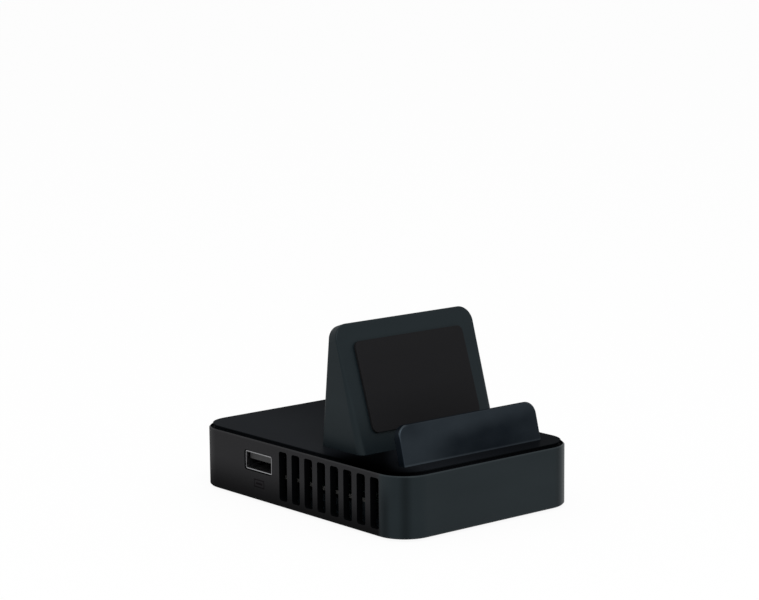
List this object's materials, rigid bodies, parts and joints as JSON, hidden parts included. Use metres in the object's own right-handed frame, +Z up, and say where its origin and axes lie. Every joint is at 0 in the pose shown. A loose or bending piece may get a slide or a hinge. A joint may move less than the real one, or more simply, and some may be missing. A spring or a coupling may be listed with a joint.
{
  "type": "game console docking stand",
  "caption": "Low black docking stand with slotted side vents, a leaning front lip, a console plug and a wedge-shaped rear rest.",
  "frame": {"origin": "on the surface the feet stand on, under the middle of the housing", "axes": "+X to the right seen from the front, -Y towards the front lip, +Z up"},
  "size_m": [0.071, 0.1, 0.0583],
  "materials": {
    "shell_plastic": "fine matte texture",
    "cover_plastic": "gloss",
    "soft_pad": "matt",
    "foot_rubber": "matt",
    "screw_steel": "zinc plated",
    "circuit_board": "solder mask",
    "port_metal": "nickel plated",
    "port_plastic": "moulded",
    "chip_resin": "moulded resin",
    "pad_silicone": "matt",
    "sink_aluminium": "extruded",
    "ferrite": "pressed",
    "can_aluminium": "bright"
  },
  "bodies": {
    "root": {"housing": "shell_plastic", "top_cover": "cover_plastic", "rear_rest": "shell_plastic", "bottom_cover": "shell_plastic", "lip_pad": "soft_pad", "rest_pad": "soft_pad", "front_foot": "foot_rubber", "rear_foot": "foot_rubber", "case_screws": "screw_steel", "rest_screws": "screw_steel", "board_screws": "screw_steel", "holder_screws": "screw_steel", "main_board": "circuit_board", "plug_board": "circuit_board", "plug_holder": "port_plastic", "plug_shell": "port_metal", "plug_core": "port_plastic", "usb_port_shell": "port_metal", "usb_port_tongue": "port_plastic", "video_port_shell": "port_metal", "video_port_tongue": "port_plastic", "power_port_shell": "port_metal", "power_port_tongue": "port_plastic", "video_chip": "chip_resin", "thermal_pad": "pad_silicone", "heat_sink": "sink_aluminium", "hub_chip": "chip_resin", "power_chip": "chip_resin", "inductor": "ferrite", "capacitor_1": "can_aluminium", "capacitor_2": "can_aluminium", "crystal": "can_aluminium"}
  },
  "joints": []
}
